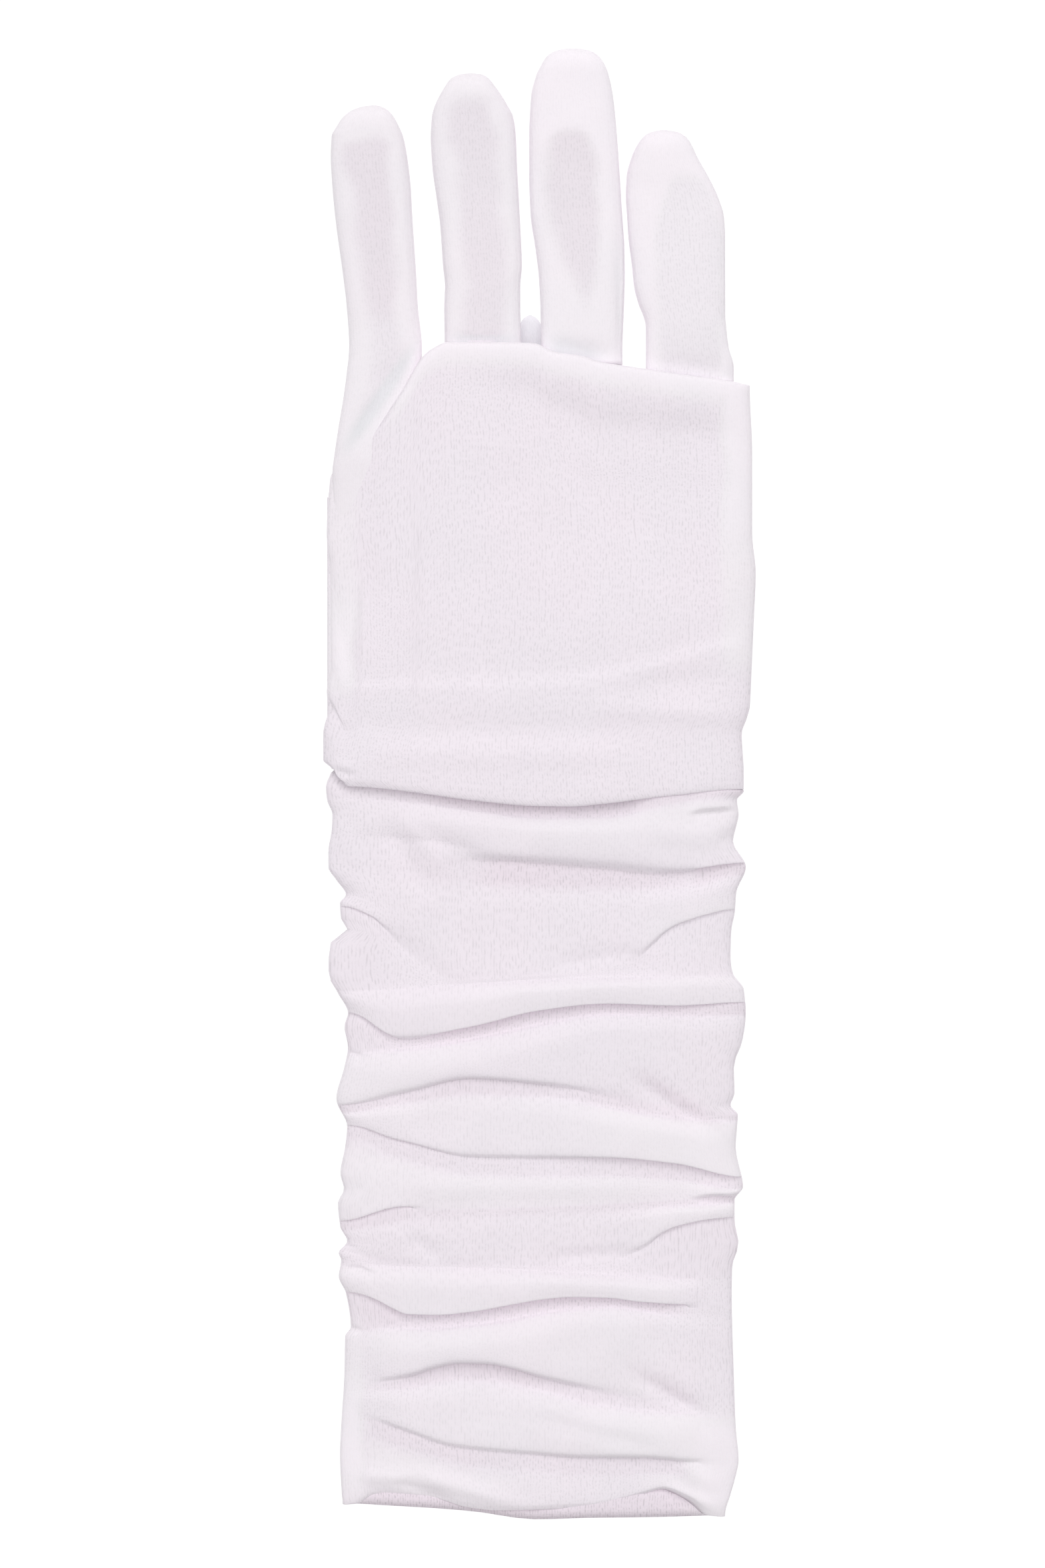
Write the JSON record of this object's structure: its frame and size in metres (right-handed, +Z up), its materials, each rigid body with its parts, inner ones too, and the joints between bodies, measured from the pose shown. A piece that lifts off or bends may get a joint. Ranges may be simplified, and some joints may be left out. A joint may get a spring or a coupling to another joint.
{
  "type": "long ruched dress glove",
  "caption": "Long stretch-knit dress glove for the left hand with a ruched forearm sleeve, lying flat with the thumb folded under the palm.",
  "frame": {"origin": "on the surface the glove lies on, under the middle of its outline", "axes": "+Y from the arm mouth to the fingertips, +X to the index finger's side, +Z up through the back of the hand"},
  "size_m": [0.1081, 0.3671, 0.0136],
  "materials": {
    "knit_cloth": "fine white stretch knit with a faint rose cast, matt, with upright ribs"
  },
  "bodies": {
    "root": {"hand": "knit_cloth", "ruched_sleeve": "knit_cloth", "little_finger": "knit_cloth", "ring_finger": "knit_cloth", "middle_finger": "knit_cloth", "index_finger": "knit_cloth", "thumb": "knit_cloth"}
  },
  "joints": []
}
